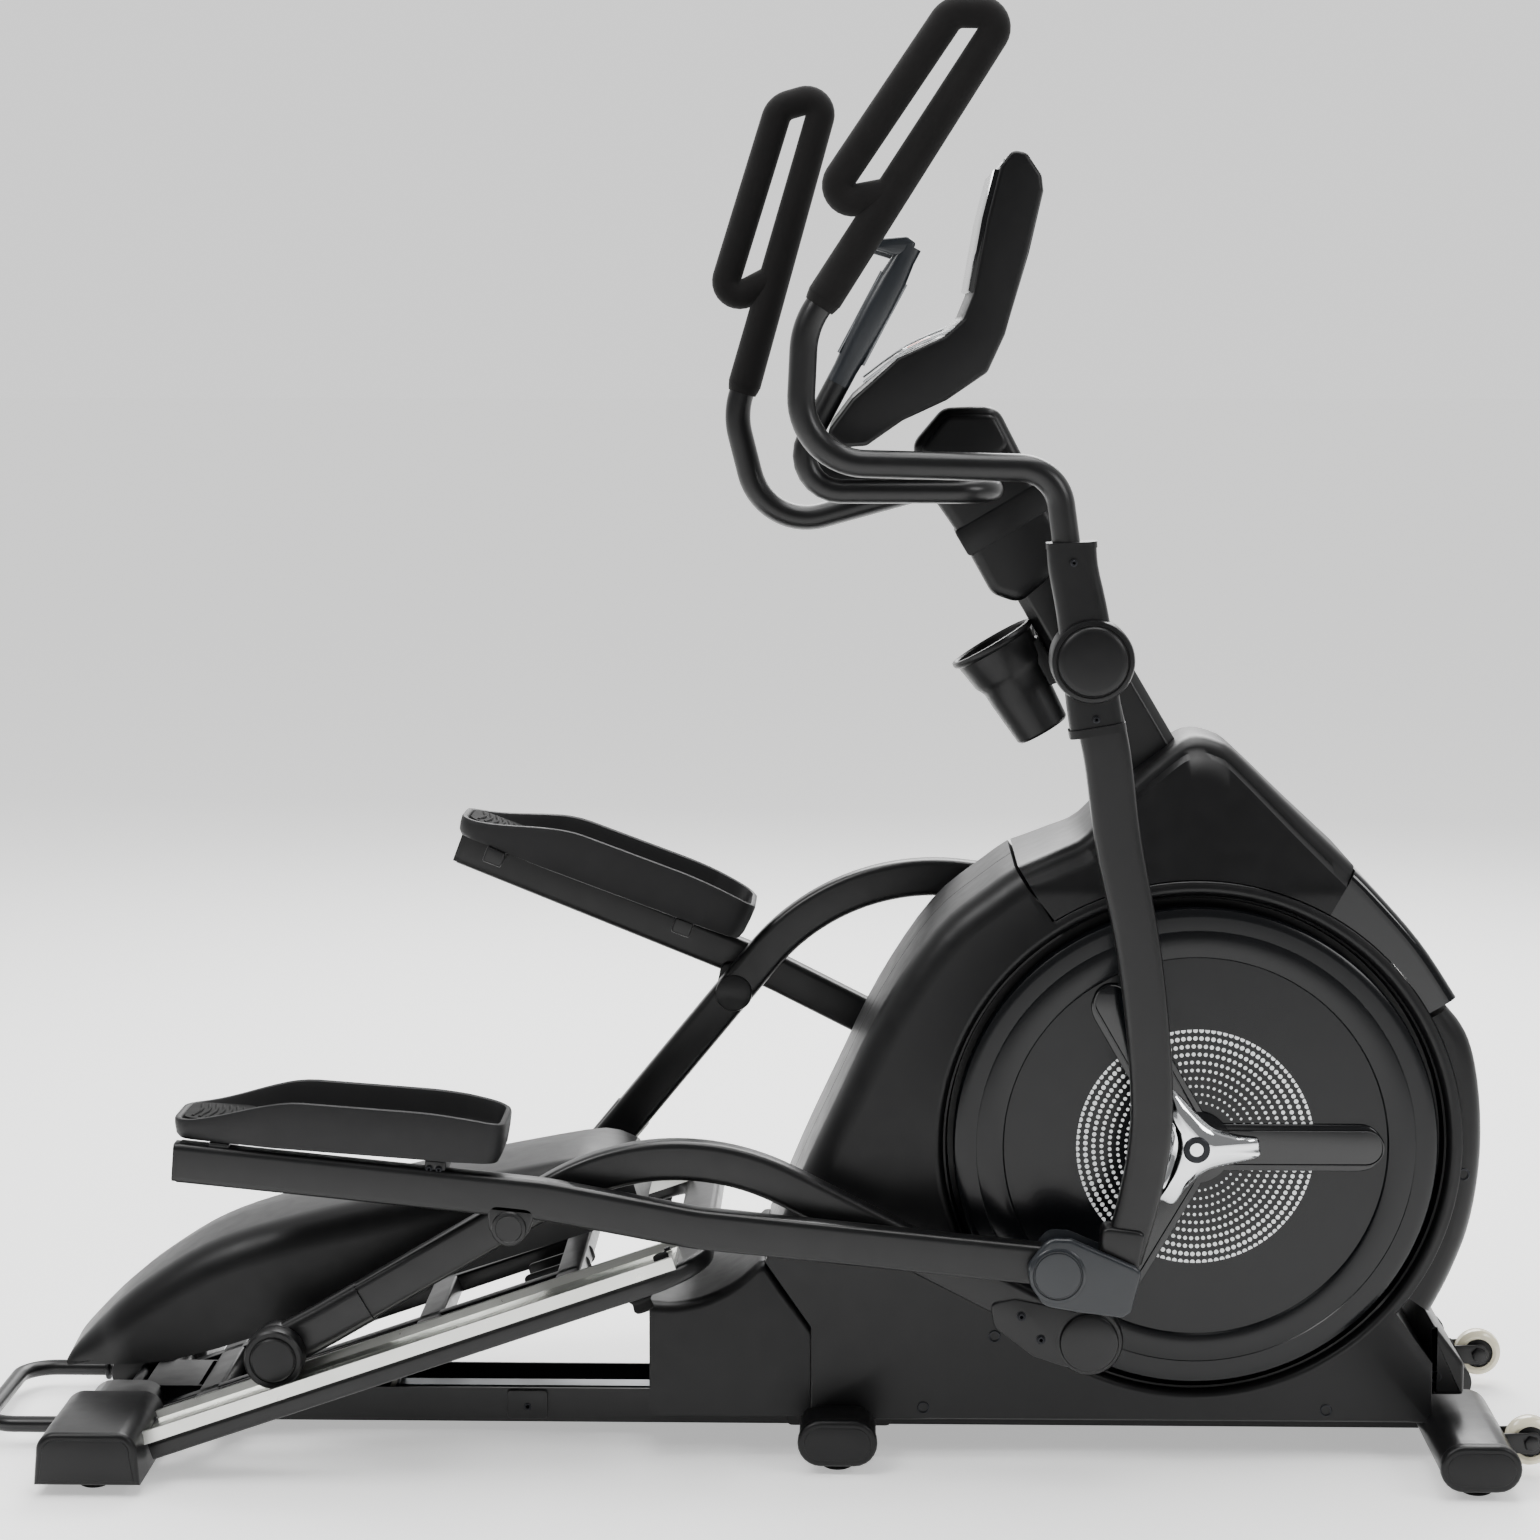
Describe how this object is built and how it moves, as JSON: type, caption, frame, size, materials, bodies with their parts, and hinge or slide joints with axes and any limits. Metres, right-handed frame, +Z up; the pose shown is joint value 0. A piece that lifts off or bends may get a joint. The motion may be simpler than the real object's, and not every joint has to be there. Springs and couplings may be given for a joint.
{
  "type": "elliptical trainer",
  "caption": "Front-drive elliptical trainer: crank discs push roller links on an inclined track, with pedals, swinging handlebars, console and tilting ramp",
  "frame": {"origin": "middle of the footprint, on the floor", "axes": "+X towards the drive housing, +Y the user's left, +Z up"},
  "size_m": [2.02, 0.68, 1.8289],
  "materials": {
    "black_steel": "satin black powder coat",
    "shell_plastic": "satin black moulded plastic",
    "gloss_black": "gloss black plastic",
    "foam": "matte black foam",
    "aluminium": "satin anodised",
    "chrome": "bright chrome",
    "steel": "turned steel",
    "cast_iron": "turned and oiled",
    "rubber": "black rubber",
    "bronze": "sintered bronze",
    "pedal_plastic": "textured charcoal plastic",
    "cover_grey": "satin blue-grey plastic",
    "clear_wheel": "clear amber polyurethane",
    "key_orange": "satin orange",
    "key_silver": "satin silver",
    "disc_black": "satin near-black"
  },
  "bodies": {
    "root": {"base_frame": "black_steel", "foot_tubes": "black_steel", "rear_foot_cover": "shell_plastic", "rear_handle": "black_steel", "foot_caps": "shell_plastic", "levelling_feet": "rubber", "mast": "black_steel", "mast_cover": "shell_plastic", "bottle_holder": "shell_plastic", "pulse_bar": "black_steel", "pulse_grips": "cover_grey", "console_shell": "shell_plastic", "console_face": "gloss_black", "mast_cowl": "shell_plastic", "rear_cover": "shell_plastic", "front_cover": "shell_plastic", "gloss_insert": "gloss_black", "crank_bearings": "steel", "drive_belt": "rubber", "brake_motor": "black_steel", "lift_motor": "black_steel", "power_inlet": "rubber", "right_housing": "shell_plastic", "left_housing": "shell_plastic"},
    "crank": {"crank_axle": "steel", "drive_pulley": "black_steel", "hub_stars": "chrome", "right_crank_disc": "disc_black", "left_crank_disc": "disc_black"},
    "flywheel": {"flywheel": "cast_iron"},
    "brake_shoe": {"brake_shoe": "steel"},
    "ramp": {"ramp_frame": "black_steel", "tracks": "aluminium", "ramp_hood": "shell_plastic"},
    "lift_arm": {"lift_arm": "black_steel"},
    "push_bar": {"push_bar": "steel"},
    "start_key": {"start_key": "key_silver"},
    "stop_key": {"stop_key": "key_orange"},
    "right_carriage": {"right_roller_axle": "steel"},
    "right_roller": {"right_roller": "rubber"},
    "right_link_bush": {"right_link_bush": "bronze"},
    "right_link": {"right_roller_link": "black_steel"},
    "right_arm_bush": {"right_arm_bush": "bronze"},
    "right_pedal_arm": {"right_pedal_arm": "black_steel", "right_pedal": "pedal_plastic"},
    "right_swing_arm": {"right_swing_arm": "black_steel", "right_grip": "foam", "right_joint_cover": "cover_grey"},
    "right_transport_wheel": {"right_transport_wheel": "clear_wheel"},
    "left_carriage": {"left_roller_axle": "steel"},
    "left_roller": {"left_roller": "rubber"},
    "left_link_bush": {"left_link_bush": "bronze"},
    "left_link": {"left_roller_link": "black_steel"},
    "left_arm_bush": {"left_arm_bush": "bronze"},
    "left_pedal_arm": {"left_pedal_arm": "black_steel", "left_pedal": "pedal_plastic"},
    "left_swing_arm": {"left_swing_arm": "black_steel", "left_grip": "foam", "left_joint_cover": "cover_grey"},
    "left_transport_wheel": {"left_transport_wheel": "clear_wheel"}
  },
  "joints": [
    {"name": "crank_turn", "type": "hinge", "parent": "root", "child": "crank", "pos_m": [0.557, 0, 0.409], "axis": [0, -1, 0], "range_deg": [0, 120]},
    {"name": "flywheel_spin", "type": "hinge", "parent": "root", "child": "flywheel", "pos_m": [0.747, 0, 0.299], "axis": [0, -1, 0], "continuous": true},
    {"name": "brake_swing", "type": "hinge", "parent": "root", "child": "brake_shoe", "pos_m": [0.77961, 0, 0.42071], "axis": [0, -1, 0], "range_deg": [0, 6]},
    {"name": "ramp_tilt", "type": "hinge", "parent": "root", "child": "ramp", "pos_m": [-0.82, 0, 0.045], "axis": [0, -1, 0], "range_deg": [-1, 1]},
    {"name": "lift_turn", "type": "hinge", "parent": "ramp", "child": "lift_arm", "pos_m": [-0.28014, 0, 0.16955], "axis": [0, -1, 0], "range_deg": [-2, 2]},
    {"name": "push_slide", "type": "slide", "parent": "root", "child": "push_bar", "axis": [1, 0, 0], "range_m": [-0.0036, 0.0036]},
    {"name": "start_key_press", "type": "slide", "parent": "root", "child": "start_key", "axis": [0.4211, 0, -0.907], "range_m": [0, 0.002], "stiffness_N_per_m": 400, "springref_m": -0.002},
    {"name": "stop_key_press", "type": "slide", "parent": "root", "child": "stop_key", "axis": [0.4211, 0, -0.907], "range_m": [0, 0.002], "stiffness_N_per_m": 400, "springref_m": -0.002},
    {"name": "right_roller_slide", "type": "slide", "parent": "ramp", "child": "right_carriage", "axis": [0.9455, 0, 0.3256], "range_m": [0, 0.4365]},
    {"name": "right_roller_spin", "type": "hinge", "parent": "right_carriage", "child": "right_roller", "pos_m": [-0.59828, 0, 0.15307], "axis": [0, -1, 0], "continuous": true},
    {"name": "right_link_level", "type": "hinge", "parent": "right_carriage", "child": "right_link_bush", "pos_m": [-0.59828, 0, 0.15307], "axis": [0, -1, 0], "range_deg": [-1.32, 1.32]},
    {"name": "right_link_swing", "type": "hinge", "parent": "right_link_bush", "child": "right_link", "pos_m": [-0.59828, 0, 0.15307], "axis": [0, -1, 0], "range_deg": [0, 5.22]},
    {"name": "right_arm_swing", "type": "hinge", "parent": "root", "child": "right_swing_arm", "pos_m": [0.414, 0, 1.034], "axis": [0, -1, 0], "range_deg": [0, 30.05]},
    {"name": "right_arm_level", "type": "hinge", "parent": "right_swing_arm", "child": "right_arm_bush", "pos_m": [0.37828, 0, 0.27684], "axis": [0, -1, 0], "range_deg": [-0.32, 0.32]},
    {"name": "right_pedal_arm_swing", "type": "hinge", "parent": "right_arm_bush", "child": "right_pedal_arm", "pos_m": [0.37828, 0, 0.27684], "axis": [0, -1, 0], "range_deg": [-37.25, 0]},
    {"name": "right_transport_spin", "type": "hinge", "parent": "root", "child": "right_transport_wheel", "pos_m": [0.978, 0, 0.044], "axis": [0, -1, 0], "continuous": true},
    {"name": "left_roller_slide", "type": "slide", "parent": "ramp", "child": "left_carriage", "axis": [0.9455, 0, 0.3256], "range_m": [-0.4607, 0]},
    {"name": "left_roller_spin", "type": "hinge", "parent": "left_carriage", "child": "left_roller", "pos_m": [-0.25683, 0, 0.27064], "axis": [0, -1, 0], "continuous": true},
    {"name": "left_link_level", "type": "hinge", "parent": "left_carriage", "child": "left_link_bush", "pos_m": [-0.25683, 0, 0.27064], "axis": [0, -1, 0], "range_deg": [-1.7, 1.7]},
    {"name": "left_link_swing", "type": "hinge", "parent": "left_link_bush", "child": "left_link", "pos_m": [-0.25683, 0, 0.27064], "axis": [0, -1, 0], "range_deg": [-5.04, 0]},
    {"name": "left_arm_swing", "type": "hinge", "parent": "root", "child": "left_swing_arm", "pos_m": [0.414, 0, 1.034], "axis": [0, -1, 0], "range_deg": [-28.51, 0]},
    {"name": "left_arm_level", "type": "hinge", "parent": "left_swing_arm", "child": "left_arm_bush", "pos_m": [0.59965, 0, 0.29909], "axis": [0, -1, 0], "range_deg": [-0.65, 0.65]},
    {"name": "left_pedal_arm_swing", "type": "hinge", "parent": "left_arm_bush", "child": "left_pedal_arm", "pos_m": [0.59965, 0, 0.29909], "axis": [0, -1, 0], "range_deg": [0, 43.32]},
    {"name": "left_transport_spin", "type": "hinge", "parent": "root", "child": "left_transport_wheel", "pos_m": [0.978, 0, 0.044], "axis": [0, -1, 0], "continuous": true}
  ],
  "couplings": [
    {"joint": "flywheel_spin", "follows": "crank_turn", "ratio": 7.2222},
    {"joint": "lift_turn", "follows": "ramp_tilt", "ratio": 1.55},
    {"joint": "push_slide", "follows": "ramp_tilt", "m_per_rad": 0.196},
    {"joint": "right_roller_slide", "follows": "crank_turn", "m_per_rad": 0.20838},
    {"joint": "right_roller_spin", "follows": "crank_turn", "ratio": -5.4837},
    {"joint": "right_link_level", "follows": "ramp_tilt", "ratio": -1.218},
    {"joint": "right_link_swing", "follows": "crank_turn", "ratio": 0.043459},
    {"joint": "right_arm_swing", "follows": "crank_turn", "ratio": 0.25038},
    {"joint": "right_arm_level", "follows": "ramp_tilt", "ratio": -0.22},
    {"joint": "right_pedal_arm_swing", "follows": "crank_turn", "ratio": -0.31041},
    {"joint": "left_roller_slide", "follows": "crank_turn", "m_per_rad": -0.21995},
    {"joint": "left_roller_spin", "follows": "crank_turn", "ratio": 5.7882},
    {"joint": "left_link_level", "follows": "ramp_tilt", "ratio": -1.595},
    {"joint": "left_link_swing", "follows": "crank_turn", "ratio": -0.041938},
    {"joint": "left_arm_swing", "follows": "crank_turn", "ratio": -0.23754},
    {"joint": "left_arm_level", "follows": "ramp_tilt", "ratio": -0.551},
    {"joint": "left_pedal_arm_swing", "follows": "crank_turn", "ratio": 0.36099}
  ]
}
